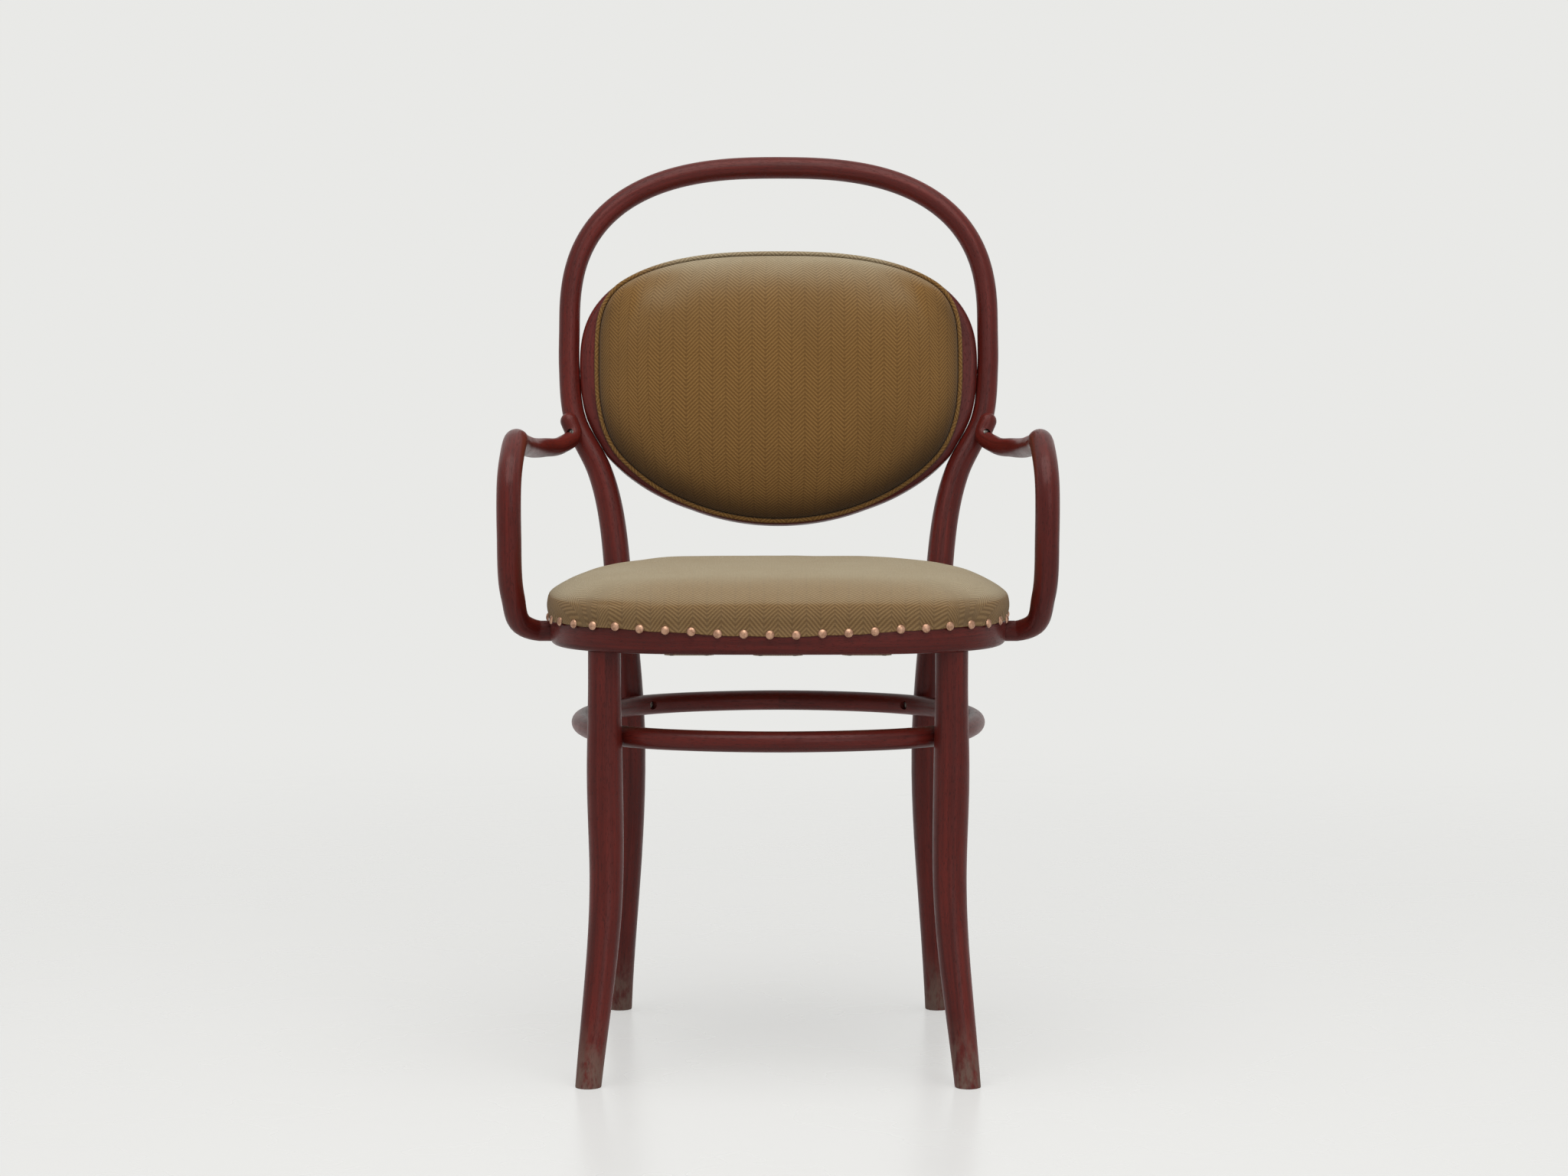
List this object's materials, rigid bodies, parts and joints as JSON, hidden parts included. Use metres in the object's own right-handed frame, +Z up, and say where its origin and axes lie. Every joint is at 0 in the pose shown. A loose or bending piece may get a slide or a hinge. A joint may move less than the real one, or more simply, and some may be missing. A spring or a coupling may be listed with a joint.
{
  "type": "bentwood chair",
  "caption": "Bentwood armchair: rods bent into legs, back and arms round a seat ring, with a stuffed seat and a stuffed oval back panel.",
  "frame": {"origin": "on the floor, at the middle of the chair's box seen from above", "axes": "+Z up, -Y the way the sitter faces, +X the sitter's left"},
  "size_m": [0.565, 0.5188, 0.9209],
  "materials": {
    "stained_beech": "red-brown stain under gloss lacquer",
    "wool_twill": "olive-brown woven cloth, matt",
    "jute": "plain woven webbing",
    "raw_board": "unfinished",
    "burnished_steel": "dull"
  },
  "bodies": {
    "root": {"back_bow": "stained_beech", "inner_hoop": "stained_beech", "seat_ring": "stained_beech", "leg_ring": "stained_beech", "front_leg_left": "stained_beech", "front_leg_right": "stained_beech", "arm_left": "stained_beech", "arm_right": "stained_beech", "seat_cushion": "wool_twill", "back_pad": "wool_twill", "back_piping": "wool_twill", "back_rear_cover": "wool_twill", "back_board": "raw_board", "webbing_lengthways_1": "jute", "webbing_lengthways_2": "jute", "webbing_lengthways_3": "jute", "webbing_crossways_1": "jute", "webbing_crossways_2": "jute", "webbing_crossways_3": "jute", "leg_ring_screw_front_left": "burnished_steel", "leg_ring_screw_front_right": "burnished_steel", "leg_ring_screw_rear_left": "burnished_steel", "leg_ring_screw_rear_right": "burnished_steel", "hoop_screw_upper_left": "burnished_steel", "hoop_screw_upper_right": "burnished_steel", "hoop_screw_lower_left": "burnished_steel", "hoop_screw_lower_right": "burnished_steel", "arm_screw_left": "burnished_steel", "arm_screw_right": "burnished_steel", "rear_bolt_left": "burnished_steel", "rear_bolt_right": "burnished_steel", "rear_washer_left": "burnished_steel", "rear_washer_right": "burnished_steel", "rear_nut_left": "burnished_steel", "rear_nut_right": "burnished_steel"}
  },
  "joints": []
}
